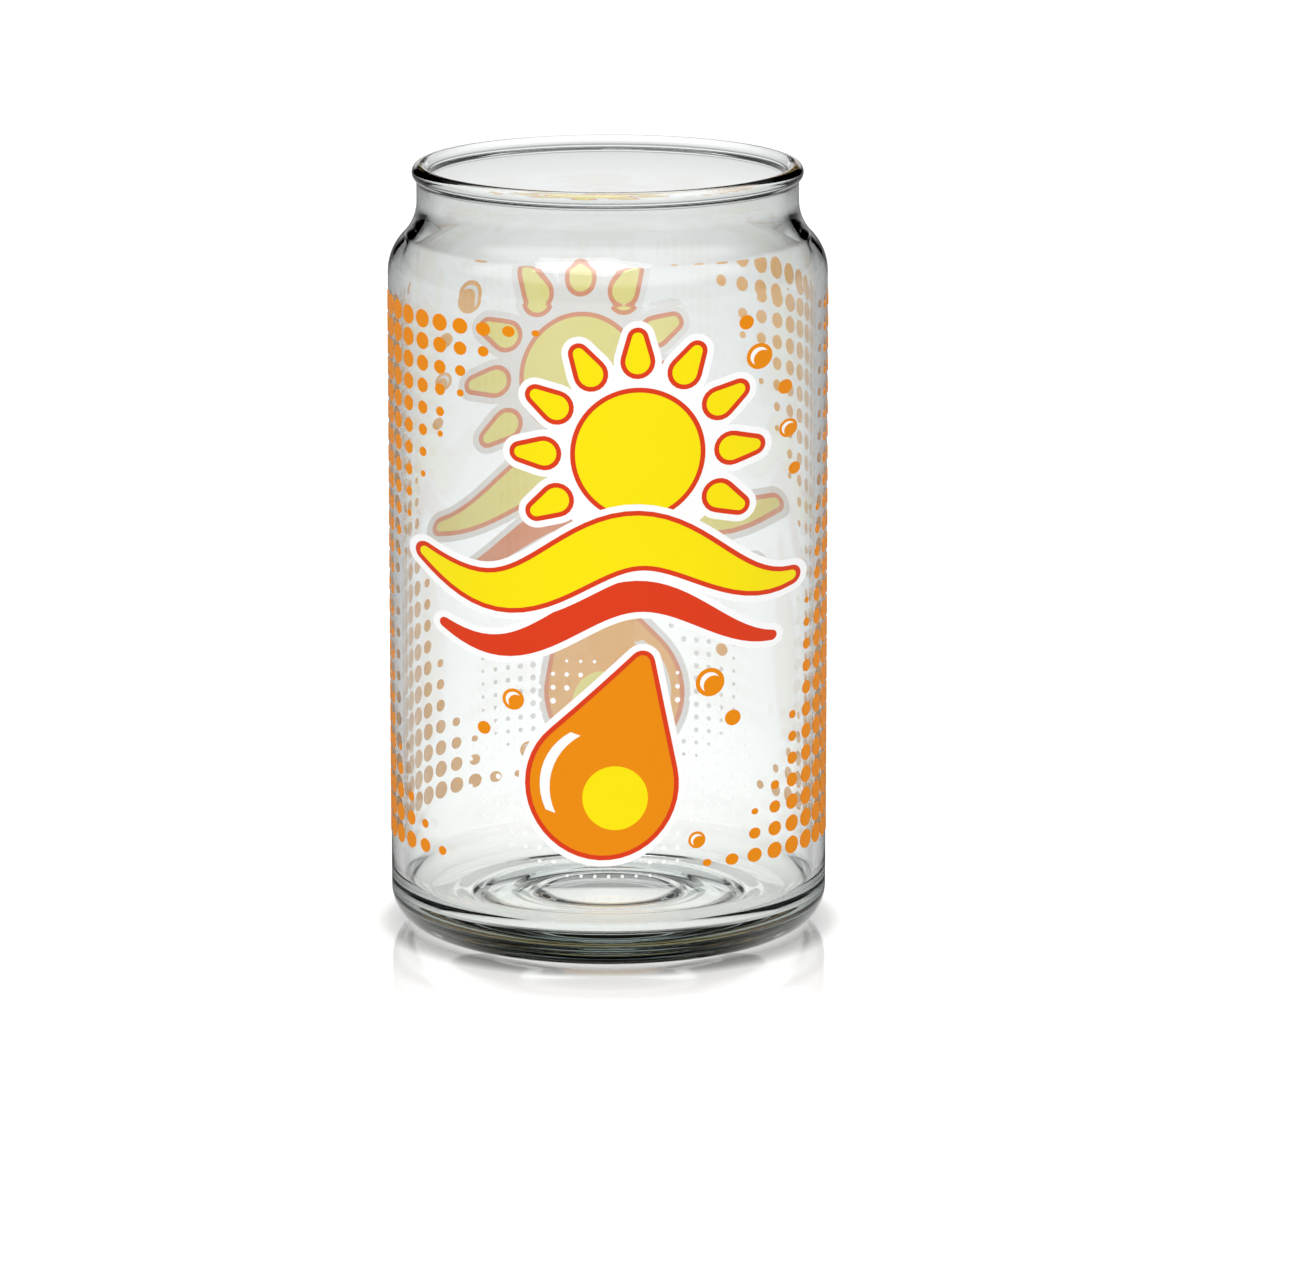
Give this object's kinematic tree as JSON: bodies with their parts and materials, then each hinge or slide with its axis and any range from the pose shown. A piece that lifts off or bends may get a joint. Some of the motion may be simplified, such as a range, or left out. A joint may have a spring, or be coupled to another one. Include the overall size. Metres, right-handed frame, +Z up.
{
  "type": "drinking glass",
  "caption": "Clear can-shaped drinking glass with a beaded rim, stepped shoulder, thick base and a sun, ribbon and drop print with halftone dot fields in fired enamel.",
  "frame": {"origin": "centre of the base, on the plane the glass stands on", "axes": "+Z up along the axis of the glass, -Y towards the viewer of the front print"},
  "size_m": [0.0682, 0.0682, 0.12],
  "materials": {
    "glass": "clear soda-lime glass, fire-polished",
    "white_enamel": "fired glossy enamel",
    "yellow_enamel": "fired glossy enamel",
    "orange_enamel": "fired glossy enamel",
    "red_enamel": "fired glossy enamel"
  },
  "bodies": {
    "root": {"glass": "glass", "white_enamel": "white_enamel", "yellow_enamel": "yellow_enamel", "orange_enamel": "orange_enamel", "red_enamel": "red_enamel"}
  },
  "joints": []
}
